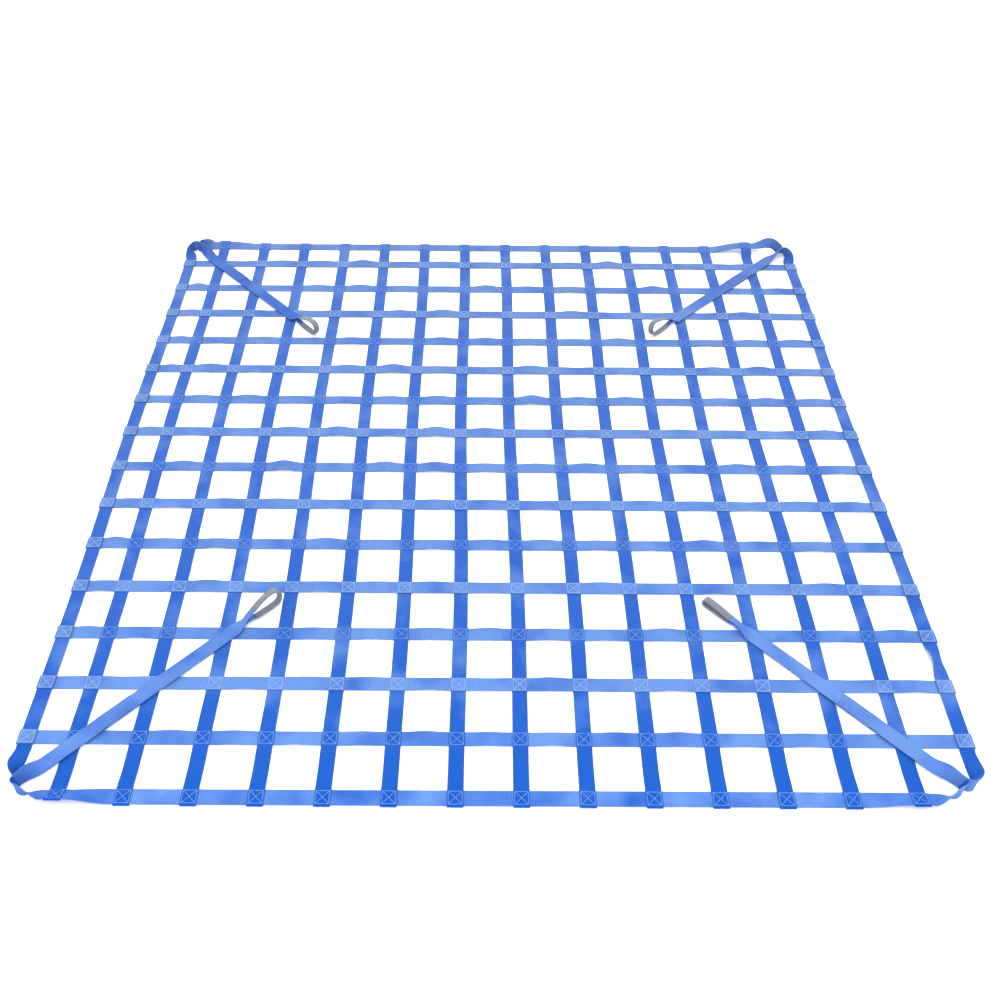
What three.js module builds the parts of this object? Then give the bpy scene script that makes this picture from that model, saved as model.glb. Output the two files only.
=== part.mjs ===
// Cargo lifting net of flat webbing, laid out on the floor.
// Straps in two directions cross at right angles and are sewn where they cross. A border strap runs
// along each side. At each corner two border straps turn up on edge, meet back to back and end as
// tails, and a lifting sling is sewn between the tails. The sling is folded into an eye, at half
// width, with a wear sleeve on it. Millimetres, +Z up, origin on the floor under the net's middle.
import * as THREE from 'three';

// Driving dimensions of the webbing and the mesh
const NET_SIZE = 3000; // over the outer edges of opposite border straps
const MESH_PITCH = 200; // between the middles of neighbouring straps
const WEB_WIDTH = 50;
const WEB_THICKNESS = 2.4;
const LAYER_GAP = 0.3; // between layers that lie on each other

// How the net lies: the lengthwise straps swing a little from side to side, and the crosswise
// straps buckle between the crossings
const SWAY = 5;
const SWAY_LENGTH = 1850; // from crest to crest
const SWAY_CREST = 1150; // y of the crest nearest the back
const RIPPLE_RISE = 4;
const RIPPLE_ROLL = THREE.MathUtils.degToRad(8);
const ROLL_STEPS = { row: 2.4, gap: 1.7 }; // radians from one row or gap to the next
const RISE_STEPS = { row: 0.9, gap: -2.9 };
const PRESS_REACH = 115; // straps stay flat this close to a sling's middle line

// Lifting slings, measured from the corner's apex, where the two border straps meet
const EYE_LENGTH = 155; // from its throat, where the plies part, to its crown
const EYE_WIDTH = 25; // the webbing is folded in half along its length
const EYE_TURNS = 30; // the eye starts to lean over this far before its throat
const EYE_SETTLES = 25; // and has its full lean this far after it
const EYE_SINKS_FROM = 15; // after its throat the eye comes down to the floor
const EYE_SINKS_TO = 55;
const SLING_CLIMBS = 80; // from the floor to the height of the crossings
const LAP_LENGTH = 118; // sling held between the tails
const LAP_OPENS = 40; // the tails part over this length
const SLEEVE_START = 40; // from the throat
const SLEEVE_WALL = 1.2;

// Each corner in its own quadrant, with its x and y counted outwards. apexX and apexY: where the
// border straps meet. apexTilt: degrees that the sling is turned there, its face to the front, or to
// the back if negative. flatAt: where the sling lies flat. aim: its direction, degrees from the
// crosswise straps. length: from the apex to the eye's crown. tail: how far the border straps run
// along it. narrows: over what length it comes to the eye's width. eyeTurn: degrees that the eye
// leans to the back. eyeRadius: half of its opening.
// side and end: how a side and an end border strap swing round to the apex, with reach the length
// that they run on, flare their swing outwards, bulge how far they pass the apex, tilt the degrees
// that they are turned up on the way and turned the share of the swing by which they are.
const CORNERS = {
  front_left: {
    signX: -1, signY: -1, apexX: 1452, apexY: 1430, apexTilt: 74, flatAt: 85,
    aim: 45.2, length: 993, tail: 406, narrows: 45, eyeTurn: 15, eyeRadius: 27,
    side: { reach: 60, flare: 8, bulge: 30, tilt: 95, turned: 0.75 },
    end: { reach: 70, flare: 0, bulge: 35, tilt: 100, turned: 0.42 },
  },
  front_right: {
    signX: 1, signY: -1, apexX: 1406, apexY: 1423, apexTilt: 74, flatAt: 100,
    aim: 45.7, length: 965, tail: 409, narrows: 50, eyeTurn: 5, eyeRadius: 12,
    side: { reach: 100, flare: 5, bulge: 60, tilt: 98, turned: 0.7 },
    end: { reach: 80, flare: 0, bulge: 30, tilt: 100, turned: 0.42 },
  },
  back_left: {
    signX: -1, signY: 1, apexX: 1436, apexY: 1438, apexTilt: 78, flatAt: 110,
    aim: 46, length: 940, tail: 362, narrows: 20, eyeTurn: 8, eyeRadius: 28,
    side: { reach: 60, flare: 20, bulge: 40, tilt: 85, turned: 0.45 },
    end: { reach: 50, flare: -8, bulge: 25, tilt: 80, turned: 0.45 },
  },
  back_right: {
    signX: 1, signY: 1, apexX: 1440, apexY: 1435, apexTilt: -62, flatAt: 120,
    aim: 42.7, length: 980, tail: 395, narrows: 20, eyeTurn: 18, eyeRadius: 29,
    side: { reach: 45, flare: 15, bulge: 30, tilt: 85, turned: 0.45 },
    end: { reach: 85, flare: 20, bulge: 35, tilt: 85, turned: 0.6 },
  },
};

// Buckles of the crosswise straps that stand out. row and gap: counted from the front and the left.
// rise: at the middle of the gap. roll: degrees that the strap is turned there, its face to the front.
const RAISED = [
  { row: 7, gap: 4, rise: 13, roll: 2 },
  { row: 7, gap: 7, rise: 11, roll: 0 },
  { row: 8, gap: 5, rise: 10, roll: 4 },
  { row: 8, gap: 7, rise: 12, roll: 3 },
  { row: 9, gap: 9, rise: 11, roll: 4 },
  { row: 10, gap: 2, rise: 2, roll: 11 },
  { row: 10, gap: 6, rise: 11, roll: 5 },
  { row: 10, gap: 14, rise: 5, roll: 10 },
  { row: 12, gap: 7, rise: 10, roll: 3 },
  { row: 14, gap: 5, rise: 8, roll: 5 },
  { row: 14, gap: 11, rise: 13, roll: 2 },
];

// Crossings on the front and back borders that don't lie flat. lift: above the floor. roll: degrees
// that the border strap is turned up there, its face to the net's middle.
const LIFTED = [
  { row: 0, column: 1, lift: 0, roll: 30 },
  { row: 0, column: 14, lift: 0, roll: 18 },
  { row: 15, column: 1, lift: 0, roll: 14 },
  { row: 15, column: 14, lift: 24, roll: 0 },
];
const LEVEL_SEAT = { lift: 0, roll: 0 };

// Where a side border leans over outwards between two rows
const LEANING = { column: 15, gap: 3, roll: THREE.MathUtils.degToRad(32) };

const BLUE = 0x2f6fe4;
const GREY = 0x8d8f98;

// Sizes that follow from those above
const HALF_WEB = WEB_WIDTH / 2;
const HALF_THICK = WEB_THICKNESS / 2;
const LAYER_STEP = WEB_THICKNESS + LAYER_GAP;
const BORDER_LINE = NET_SIZE / 2 - HALF_WEB;
const CROSSING_REACH = HALF_WEB + 1; // a strap is level this far from a crossing's middle
const FOLD_CLEARANCE = 0.8; // from a border strap's edge to where an end starts to fold round it
const FOLD_RADIUS = LAYER_STEP;
const TURN_START = CROSSING_REACH + 14; // from the last crossing to where a border strap turns up
const PLY_OFFSET = LAYER_STEP / 2; // of each of two plies from the middle between them
const LAP_OFFSET = PLY_OFFSET + LAYER_STEP;
const EYE_THICKNESS = 2 * WEB_THICKNESS;
const EYE_PLY = EYE_THICKNESS / 2 + LAYER_GAP / 2;
const SLEEVE_SIDE = LAYER_GAP + SLEEVE_WALL; // from the webbing to the sleeve's outside
const SLEEVE_REACH = EYE_THICKNESS / 2 + SLEEVE_SIDE;
const throatOf = (corner) => corner.length - EYE_LENGTH;
const REST_HEIGHT = 2 * LAYER_STEP + 1.8; // underside of a sling that lies on crossings
const FLOOR_CLEARANCE = 0.8; // under the slings' on-edge ends and their eyes

const UP = new THREE.Vector3(0, 0, 1);
const DOWN = new THREE.Vector3(0, 0, -1);
const LAST = Math.round(NET_SIZE / MESH_PITCH); // index of the far border strap

// Middles of the straps of one direction: even steps from one border, the odd gap at the other
function strapLines() {
  const lines = [];
  for (let k = 0; k < LAST; k += 1) {
    lines.push(k * MESH_PITCH - BORDER_LINE);
  }
  return [...lines, BORDER_LINE];
}
const ROW_Y = strapLines(); // front to back, narrow gap at the back
const COLUMN_X = strapLines().map((line) => -line).reverse(); // left to right, narrow gap at the left

const layerZ = (layer) => HALF_THICK + layer * LAYER_STEP;
const sway = (y) => SWAY * Math.cos((2 * Math.PI * (y - SWAY_CREST)) / SWAY_LENGTH);
const smooth = (from, to, at) => THREE.MathUtils.smoothstep(at, from, to);

// Crosswise straps lie over the lengthwise ones in every second row
const crosswiseIsOver = (row) => row % 2 === 0;

// One place along a strap: its middle, the way its face looks, and its section there. axis is the
// line that it runs along, or null where that follows from its neighbours.
function station(point, up, axis = null, width = WEB_WIDTH, thickness = WEB_THICKNESS) {
  return { point, up, axis, width, thickness };
}

// The four corners of a strap's section at each station
function sections(stations) {
  return stations.map(({ point, up, axis, width, thickness }, i) => {
    const before = stations[Math.max(i - 1, 0)].point;
    const after = stations[Math.min(i + 1, stations.length - 1)].point;
    const course = after.clone().sub(before);
    const along = axis === null ? course : axis.clone().multiplyScalar(Math.sign(axis.dot(course)));
    const across = up.clone().cross(along).normalize().multiplyScalar(width / 2);
    const outward = up.clone().normalize().multiplyScalar(thickness / 2);
    return [
      point.clone().sub(across).sub(outward),
      point.clone().add(across).sub(outward),
      point.clone().add(across).add(outward),
      point.clone().sub(across).add(outward),
    ];
  });
}

function geometryFrom(points, index) {
  const geometry = new THREE.BufferGeometry().setFromPoints(points);
  geometry.setIndex(index);
  geometry.computeVertexNormals();
  return geometry;
}

// Faces between neighbouring four-cornered sections, whose points start at first in the point list.
// A twisted face creases along the diagonal that lies further towards CREASE_SIDE, so that layers
// that lie on each other crease alike.
const CREASE_SIDE = new THREE.Vector3(0, -1, 1);
function sideFaces(points, count, first, inwards) {
  const side = (k) => points[k].dot(CREASE_SIDE);
  const index = [];
  for (let i = 0; i + 1 < count; i += 1) {
    for (let k = 0; k < 4; k += 1) {
      const a = first + i * 4 + k;
      const b = first + i * 4 + ((k + 1) % 4);
      const c = b + 4;
      const d = a + 4;
      const quad = side(a) + side(c) > side(b) + side(d) ? [a, b, c, a, c, d] : [a, b, d, b, c, d];
      index.push(...(inwards ? quad.reverse() : quad));
    }
  }
  return index;
}

// A solid strap through its stations, closed at both ends
function strap(stations) {
  const points = sections(stations).flat();
  const end = points.length - 4;
  const caps = [0, 2, 1, 0, 3, 2, end, end + 1, end + 2, end, end + 2, end + 3];
  return geometryFrom(points, [...sideFaces(points, stations.length, 0, false), ...caps]);
}

// A sleeve that is open at both ends, with its inside round the strap at the same stations
function sleeve(outside, inside) {
  const points = [...sections(outside).flat(), ...sections(inside).flat()];
  const count = outside.length;
  const shift = 4 * count;
  const far = shift - 4;
  const rims = [];
  for (let k = 0; k < 4; k += 1) {
    const next = (k + 1) % 4;
    rims.push(k, shift + k, shift + next, k, shift + next, next);
    rims.push(far + k, far + next, shift + far + next, far + k, shift + far + next, shift + far + k);
  }
  const walls = [...sideFaces(points, count, 0, false), ...sideFaces(points, count, shift, true)];
  return geometryFrom(points, [...walls, ...rims]);
}

// How a sling lies at a distance from its apex: middle line, and the way its upper face looks.
// It is turned up on edge at the apex, and its eye leans to the back.
function slingFrame(corner, distance) {
  const throat = throatOf(corner);
  const aim = THREE.MathUtils.degToRad(corner.aim);
  const inward = new THREE.Vector3(-corner.signX * Math.cos(aim), -corner.signY * Math.sin(aim), 0);
  const front = new THREE.Vector3(inward.y, -inward.x, 0);
  front.multiplyScalar(-Math.sign(front.y));
  const tilt = THREE.MathUtils.degToRad(
    corner.apexTilt * (1 - smooth(0, corner.flatAt, distance))
    - corner.eyeTurn * smooth(throat - EYE_TURNS, throat + EYE_SETTLES, distance),
  );
  const up = UP.clone().multiplyScalar(Math.cos(tilt)).addScaledVector(front, Math.sin(tilt));

  const inEye = smooth(throat - corner.narrows, throat, distance);
  const width = THREE.MathUtils.lerp(WEB_WIDTH, EYE_WIDTH, inEye);
  const thickness = THREE.MathUtils.lerp(WEB_THICKNESS, EYE_THICKNESS, inEye);
  const crown = corner.length - corner.eyeRadius - SLEEVE_REACH;
  const opened = THREE.MathUtils.clamp((distance - throat) / (crown - throat), 0, 1);
  const closedPly = THREE.MathUtils.lerp(PLY_OFFSET, EYE_PLY, inEye);
  const ply = closedPly + (corner.eyeRadius - closedPly) * Math.sin((Math.PI / 2) * opened);

  const onCrossings = smooth(0, SLING_CLIMBS, distance)
    - smooth(throat + EYE_SINKS_FROM, throat + EYE_SINKS_TO, distance);
  const lowest = THREE.MathUtils.lerp(FLOOR_CLEARANCE, REST_HEIGHT, onCrossings);
  const reach = ply + THREE.MathUtils.lerp(HALF_THICK, SLEEVE_REACH, inEye);
  const halfWidth = width / 2 + inEye * SLEEVE_SIDE;
  const height = lowest + halfWidth * Math.abs(Math.sin(tilt)) + reach * Math.cos(tilt);
  const apex = new THREE.Vector3(corner.signX * corner.apexX, corner.signY * corner.apexY, 0);
  const point = apex.addScaledVector(inward, distance).setZ(height);
  return { point, up, inward, front, width, thickness, ply, crown };
}

// Whether a place is so close to a sling that the strap there is pressed flat
function isPressed(x, y) {
  return Object.values(CORNERS).some((corner) => {
    const { point, inward } = slingFrame(corner, 0);
    const along = (x - point.x) * inward.x + (y - point.y) * inward.y;
    const aside = (x - point.x) * inward.y - (y - point.y) * inward.x;
    return along > 0 && along < corner.length && Math.abs(aside) < PRESS_REACH;
  });
}

// The middle of the gap after a crossing, where a crosswise strap buckles up and tilts
function buckle(row, gap, x, y) {
  let roll = RIPPLE_ROLL * Math.sin(ROLL_STEPS.row * row + ROLL_STEPS.gap * gap);
  let rise = RIPPLE_RISE * (0.5 + 0.5 * Math.sin(RISE_STEPS.row * row + RISE_STEPS.gap * gap));
  const raised = RAISED.find((fold) => fold.row === row && fold.gap === gap);
  if (raised) {
    roll = THREE.MathUtils.degToRad(raised.roll);
    rise = raised.rise;
  }
  if (isPressed(x, y)) {
    roll = 0;
    rise = 0;
  }
  const z = HALF_THICK + rise + HALF_WEB * Math.abs(Math.sin(roll));
  return station(new THREE.Vector3(x, y, z), new THREE.Vector3(0, -Math.sin(roll), Math.cos(roll)));
}

// How a crossing on the front or back border sits: lift, and roll in radians
function seatOf(row, column) {
  const { lift, roll } = LIFTED.find((seat) => seat.row === row && seat.column === column) ?? LEVEL_SEAT;
  return { lift, roll: THREE.MathUtils.degToRad(roll) };
}

// A border strap's middle at a crossing, the way its face looks there and the way out of the net
function seated(border, outward, { lift, roll }) {
  const middle = border.clone().setZ(layerZ(1) + lift + CROSSING_REACH * Math.sin(roll));
  const face = UP.clone().multiplyScalar(Math.cos(roll)).addScaledVector(outward, -Math.sin(roll));
  const out = outward.clone().multiplyScalar(Math.cos(roll)).addScaledVector(UP, Math.sin(roll));
  return { middle, face, out };
}

// An end folded round a border strap, from the strap's own layer to the cut end.
// outward: the way the end points. fromLayer 0 folds over the border, fromLayer 2 folds under it.
function foldedEnd(border, outward, fromLayer, seat = LEVEL_SEAT) {
  const toLayer = 2 - fromLayer;
  const { middle, face, out } = seated(border, outward, seat);
  const at = (offset, layer) => middle.clone()
    .addScaledVector(out, offset)
    .addScaledVector(face, (layer - 1) * LAYER_STEP);
  const turn = HALF_WEB + FOLD_CLEARANCE;
  const aside = out.clone().multiplyScalar(fromLayer === 0 ? -1 : 1);
  const turned = face.clone().negate();
  return [
    station(at(-CROSSING_REACH, fromLayer), face),
    station(at(turn, fromLayer), face),
    station(at(turn + FOLD_RADIUS, 1), aside),
    station(at(turn, toLayer), turned),
    station(at(-HALF_WEB, toLayer), turned),
  ];
}

// Strap from left to right in one row, its ends folded over the side borders
function crosswiseStrap(row) {
  const y = ROW_Y[row];
  const places = COLUMN_X.map((x) => x + sway(y));
  const border = (x) => new THREE.Vector3(x, y, 0);
  const layer = crosswiseIsOver(row) ? 1 : 0;
  const stations = foldedEnd(border(places[0]), new THREE.Vector3(-1, 0, 0), 0).reverse();
  for (let column = 1; column <= LAST; column += 1) {
    stations.push(buckle(row, column, (places[column - 1] + places[column]) / 2, y));
    if (column < LAST) {
      stations.push(station(new THREE.Vector3(places[column] - CROSSING_REACH, y, layerZ(layer)), UP));
      stations.push(station(new THREE.Vector3(places[column] + CROSSING_REACH, y, layerZ(layer)), UP));
    }
  }
  stations.push(...foldedEnd(border(places[LAST]), new THREE.Vector3(1, 0, 0), 0));
  return strap(stations);
}

// Strap from front to back in one column, its ends folded under the front and back borders.
// It comes down to the floor between each of those borders and the row next to it.
function lengthwiseStrap(column) {
  const at = (y) => new THREE.Vector3(COLUMN_X[column] + sway(y), y, 0);
  const onFloor = (row) => station(at((ROW_Y[row] + ROW_Y[row + 1]) / 2).setZ(layerZ(0)), UP);
  const end = (row, way) => foldedEnd(at(ROW_Y[row]), new THREE.Vector3(0, way, 0), 2, seatOf(row, column));
  const stations = end(0, -1).reverse();
  stations.push(onFloor(0));
  for (let row = 1; row < LAST; row += 1) {
    const z = layerZ(crosswiseIsOver(row) ? 0 : 1);
    stations.push(station(at(ROW_Y[row] - CROSSING_REACH).setZ(z), UP));
    stations.push(station(at(ROW_Y[row] + CROSSING_REACH).setZ(z), UP));
  }
  stations.push(onFloor(LAST - 1));
  stations.push(...end(LAST, 1));
  return strap(stations);
}

// Distances along a sling where a tail has a station: close together where it turns
const TAIL_TURN_STEPS = 7;
function tailDistances(corner) {
  const lapStart = corner.tail - LAP_LENGTH;
  const turning = [];
  for (let k = 0; k <= TAIL_TURN_STEPS; k += 1) {
    turning.push((corner.flatAt * k) / TAIL_TURN_STEPS);
  }
  return [...turning, lapStart - LAP_OPENS, lapStart - LAYER_STEP, corner.tail];
}

// A border strap's end: it leaves its line, turns up on edge, swings round to the apex and lies
// along the sling, on the face that is on the inside of its swing
const TURN_STEPS = 9;
const MEETS = { from: 0.5, to: 0.88 }; // shares between which it takes on the tilt of the sling
const COMES_DOWN = { from: 0.25, to: 0.8 }; // shares between which a lifted strap comes down
function borderEnd(corner, start, outward, aside, swingSizes, seat = LEVEL_SEAT) {
  const apex = slingFrame(corner, 0);
  const turnSide = Math.sign(outward.x * apex.inward.y - outward.y * apex.inward.x);
  const innerSide = (along) => UP.clone().cross(along).multiplyScalar(turnSide);
  const ply = Math.sign(innerSide(apex.inward).dot(apex.front) * corner.apexTilt);
  const meeting = apex.point.clone().addScaledVector(apex.up, ply * PLY_OFFSET).setZ(0);
  const swing = new THREE.CubicBezierCurve3(
    start,
    start.clone().addScaledVector(outward, swingSizes.reach).addScaledVector(aside, swingSizes.flare),
    meeting.clone().addScaledVector(apex.inward, -swingSizes.bulge),
    meeting,
  );
  const midTilt = THREE.MathUtils.degToRad(swingSizes.tilt);
  const lastTilt = Math.acos(ply * Math.cos(THREE.MathUtils.degToRad(corner.apexTilt)));
  const stations = [];
  for (let k = 0; k < TURN_STEPS; k += 1) {
    const share = k / TURN_STEPS;
    const inner = innerSide(swing.getTangent(share).setZ(0).normalize());
    const tilt = seat.roll + (midTilt - seat.roll) * smooth(0, swingSizes.turned, share)
      + (lastTilt - midTilt) * smooth(MEETS.from, MEETS.to, share);
    const up = UP.clone().multiplyScalar(Math.cos(tilt)).addScaledVector(inner, Math.sin(tilt));
    const height = HALF_THICK * Math.abs(Math.cos(tilt)) + HALF_WEB * Math.sin(tilt)
      + FLOOR_CLEARANCE * smooth(swingSizes.turned, 1, share)
      + seat.lift * (1 - smooth(COMES_DOWN.from, COMES_DOWN.to, share));
    stations.push(station(swing.getPoint(share).setZ(height), up));
  }
  for (const distance of tailDistances(corner)) {
    const { point, up, inward } = slingFrame(corner, distance);
    const offset = distance > corner.tail - LAP_LENGTH - LAP_OPENS ? LAP_OFFSET : PLY_OFFSET;
    point.addScaledVector(up, ply * offset);
    stations.push(station(point, up.multiplyScalar(ply), inward));
  }
  return stations;
}

// Border strap along the left or right side
function sideBorder(column, frontCorner, backCorner) {
  const at = (y) => new THREE.Vector3(COLUMN_X[column] + sway(y), y, HALF_THICK);
  const turn = (corner, row) => borderEnd(
    corner, at(ROW_Y[row] + corner.signY * TURN_START), new THREE.Vector3(0, corner.signY, 0),
    new THREE.Vector3(corner.signX, 0, 0), corner.side,
  );
  const stations = turn(frontCorner, 1).reverse();
  for (let row = 1; row < LAST; row += 1) {
    if (column === LEANING.column && row === LEANING.gap) {
      const height = HALF_THICK + HALF_WEB * Math.sin(LEANING.roll);
      const face = new THREE.Vector3(Math.sin(LEANING.roll), 0, Math.cos(LEANING.roll));
      stations.push(station(at((ROW_Y[row - 1] + ROW_Y[row]) / 2).setZ(height), face));
    }
    stations.push(station(at(ROW_Y[row] - CROSSING_REACH).setZ(layerZ(1)), UP));
    stations.push(station(at(ROW_Y[row] + CROSSING_REACH).setZ(layerZ(1)), UP));
  }
  return strap([...stations, ...turn(backCorner, LAST - 1)]);
}

// Border strap along the front or back
function endBorder(row, leftCorner, rightCorner) {
  const y = ROW_Y[row];
  const at = (x) => new THREE.Vector3(x + sway(y), y, HALF_THICK);
  const turn = (corner, column) => borderEnd(
    corner, at(COLUMN_X[column] + corner.signX * TURN_START), new THREE.Vector3(corner.signX, 0, 0),
    new THREE.Vector3(0, corner.signY, 0), corner.end, seatOf(row, column),
  );
  const stations = turn(leftCorner, 1).reverse();
  const outward = new THREE.Vector3(0, leftCorner.signY, 0);
  for (let column = 1; column < LAST; column += 1) {
    for (const reach of [-CROSSING_REACH, CROSSING_REACH]) {
      const { middle, face } = seated(at(COLUMN_X[column] + reach), outward, seatOf(row, column));
      stations.push(station(middle, face));
    }
  }
  return strap([...stations, ...turn(rightCorner, LAST - 1)]);
}

// Stations round a sling's loop: along its upper ply, round the eye's crown and back along its lower
// ply. before: distances from the apex that come before those under the sleeve. extra: how much the
// section is larger than the webbing.
const FLANK_STEPS = 4;
const CROWN_STEPS = 7;
function loopStations(corner, before, extra) {
  const from = throatOf(corner) + SLEEVE_START;
  const { crown } = slingFrame(corner, from);
  const distances = [...before];
  for (let k = 0; k < FLANK_STEPS; k += 1) {
    distances.push(from + ((crown - from) * k) / FLANK_STEPS);
  }
  const size = (frame) => [frame.width + extra, frame.thickness + extra];
  const onPly = (ply) => (distance) => {
    const frame = slingFrame(corner, distance);
    const point = frame.point.clone().addScaledVector(frame.up, ply * frame.ply);
    return station(point, frame.up.clone().multiplyScalar(ply), frame.inward, ...size(frame));
  };
  const top = slingFrame(corner, crown);
  const stations = distances.map(onPly(1));
  for (let k = 0; k <= CROWN_STEPS; k += 1) {
    const turn = (Math.PI * k) / CROWN_STEPS;
    const outward = top.up.clone().multiplyScalar(Math.cos(turn));
    outward.addScaledVector(top.inward, Math.sin(turn));
    const point = top.point.clone().addScaledVector(outward, corner.eyeRadius);
    stations.push(station(point, outward, null, ...size(top)));
  }
  return [...stations, ...distances.reverse().map(onPly(-1))];
}

// A sling: one strap, doubled back on itself, that opens into the eye
const NECK_STEPS = 8;
function sling(corner) {
  const neck = Math.max(corner.narrows, EYE_TURNS);
  const body = [corner.tail - LAP_LENGTH];
  for (let k = 0; k < NECK_STEPS; k += 1) {
    body.push(throatOf(corner) - neck + ((neck + SLEEVE_START) * k) / NECK_STEPS);
  }
  return strap(loopStations(corner, body, 0));
}

// The wear sleeve on a sling's eye
function eyeSleeve(corner) {
  const bore = 2 * LAYER_GAP;
  const outside = loopStations(corner, [], bore + 2 * SLEEVE_WALL);
  return sleeve(outside, loopStations(corner, [], bore));
}

// The parts
const webbing = { color: BLUE, roughness: 0.6, metalness: 0 };
const sleeveCloth = { color: GREY, roughness: 0.8, metalness: 0 };
const net = new THREE.Group();

function add(name, geometry, look) {
  const mesh = new THREE.Mesh(geometry, new THREE.MeshStandardMaterial(look));
  mesh.name = name;
  net.add(mesh);
}

const numbered = (name, k) => `${name}_${String(k + 1).padStart(2, '0')}`;
for (let k = 1; k < LAST; k += 1) {
  add(numbered('lengthwise', k), lengthwiseStrap(k), webbing);
  add(numbered('crosswise', k), crosswiseStrap(k), webbing);
}
add('border_left', sideBorder(0, CORNERS.front_left, CORNERS.back_left), webbing);
add('border_right', sideBorder(LAST, CORNERS.front_right, CORNERS.back_right), webbing);
add('border_front', endBorder(0, CORNERS.front_left, CORNERS.front_right), webbing);
add('border_back', endBorder(LAST, CORNERS.back_left, CORNERS.back_right), webbing);
for (const [name, corner] of Object.entries(CORNERS)) {
  add(`sling_${name}`, sling(corner), webbing);
  add(`eye_sleeve_${name}`, eyeSleeve(corner), sleeveCloth);
}

export default net;
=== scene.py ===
"""Looks of a cargo lifting net of flat webbing, laid out on a pale floor.

Each strap is a woven band with rounded selvedges on the folds of its solid, sewn with raised thread at
the crossings. Metres, +Z up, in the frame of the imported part: origin on the floor under the net's
middle, +X to the right, +Y to the back.
"""
import math

import bpy
import numpy as np
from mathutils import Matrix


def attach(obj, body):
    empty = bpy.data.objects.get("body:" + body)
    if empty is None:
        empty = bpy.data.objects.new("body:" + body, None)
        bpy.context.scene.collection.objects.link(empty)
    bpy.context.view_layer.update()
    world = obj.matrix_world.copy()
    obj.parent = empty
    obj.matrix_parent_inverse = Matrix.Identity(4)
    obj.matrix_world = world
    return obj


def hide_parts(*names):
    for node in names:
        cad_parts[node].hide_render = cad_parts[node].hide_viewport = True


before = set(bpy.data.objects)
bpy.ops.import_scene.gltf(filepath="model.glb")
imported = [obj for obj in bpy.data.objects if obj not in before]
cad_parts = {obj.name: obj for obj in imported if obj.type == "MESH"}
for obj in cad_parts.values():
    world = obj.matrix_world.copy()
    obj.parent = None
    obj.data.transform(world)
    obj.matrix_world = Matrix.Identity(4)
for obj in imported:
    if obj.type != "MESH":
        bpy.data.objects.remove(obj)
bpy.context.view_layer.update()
random = np.random.default_rng(seed=16)

# Sizes of the webbing and the mesh, as in the solids
NET_SIZE = 3.000
MESH_PITCH = 0.200
WEB_WIDTH = 0.050
WEB_THICKNESS = 0.0024
LAYER_GAP = 0.0003

# How the net lies
SWAY = 0.005  # sideways wave of the lengthwise straps
SWAY_LENGTH = 1.850
SWAY_CREST = 1.150
RIPPLE_RISE = 0.004  # small buckles of the crosswise straps
RIPPLE_ROLL = math.radians(8)
ROLL_STEPS = {"row": 2.4, "gap": 1.7}  # radians by which the buckles change from one to the next
RISE_STEPS = {"row": 0.9, "gap": -2.9}
PRESS_REACH = 0.115  # closer than this to a sling's line a crosswise strap lies flat

# Lifting slings, measured from the corner's apex, where the two border straps meet
EYE_LENGTH = 0.155
EYE_WIDTH = 0.025
EYE_TURNS = 0.030  # how far before its throat an eye starts to lean
EYE_SETTLES = 0.025  # how far past its throat it leans in full
EYE_SINKS_FROM = 0.015  # where past its throat it comes down from the crossings
EYE_SINKS_TO = 0.055
SLING_CLIMBS = 0.080  # distance in which a sling comes up onto the crossings
LAP_LENGTH = 0.118  # length of the sling between the two tails
LAP_OPENS = 0.040  # distance in which the tails part before it
CUT_LENGTH = 0.009  # length at a tail's cut end that is pressed thin
CUT_PRESSED = 0.7  # share of its thickness that it loses there
SLEEVE_START = 0.040  # where past the throat the sleeve begins
SLEEVE_WALL = 0.0012

# Each corner in its own quadrant, with its x and y counted outwards. Angles are in degrees.
# side and end: how a side and an end border strap swing round to the apex. reach, flare and bulge shape
# the curve, tilt is how far the strap is turned up, turned the share of the swing by which it is, and
# meets_by the one by which it has the sling's tilt, if that isn't MEETS_BY.
# tone: the sling's painted sheen, from 0, deep blue, to 1, pale blue, on the scale of the straps' own.
CORNERS = {
    "front_left": dict(
        sign_x=-1, sign_y=-1, apex_x=1.452, apex_y=1.430, apex_tilt=74, flat_at=0.085, tone=0.66,
        aim=45.2, length=0.993, tail=0.406, narrows=0.045, eye_turn=15, eye_radius=0.027,
        side=dict(reach=0.060, flare=0.008, bulge=0.030, tilt=95, turned=0.75),
        end=dict(reach=0.070, flare=0.0, bulge=0.035, tilt=100, turned=0.42),
    ),
    "front_right": dict(
        sign_x=1, sign_y=-1, apex_x=1.406, apex_y=1.423, apex_tilt=74, flat_at=0.100, tone=0.80,
        aim=45.7, length=0.965, tail=0.409, narrows=0.050, eye_turn=5, eye_radius=0.012,
        side=dict(reach=0.100, flare=0.005, bulge=0.060, tilt=98, turned=0.7),
        end=dict(reach=0.080, flare=0.0, bulge=0.030, tilt=100, turned=0.42),
    ),
    "back_left": dict(
        sign_x=-1, sign_y=1, apex_x=1.436, apex_y=1.438, apex_tilt=78, flat_at=0.110, tone=0.06,
        aim=46, length=0.940, tail=0.362, narrows=0.020, eye_turn=8, eye_radius=0.028,
        side=dict(reach=0.060, flare=0.020, bulge=0.040, tilt=85, turned=0.45),
        end=dict(reach=0.050, flare=-0.008, bulge=0.025, tilt=80, turned=0.45),
    ),
    "back_right": dict(
        sign_x=1, sign_y=1, apex_x=1.440, apex_y=1.435, apex_tilt=-62, flat_at=0.120, tone=0.46,
        aim=42.7, length=0.980, tail=0.395, narrows=0.020, eye_turn=18, eye_radius=0.029,
        side=dict(reach=0.045, flare=0.015, bulge=0.030, tilt=85, turned=0.45, meets_by=0.80),
        end=dict(reach=0.085, flare=0.020, bulge=0.035, tilt=85, turned=0.6),
    ),
}

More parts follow.
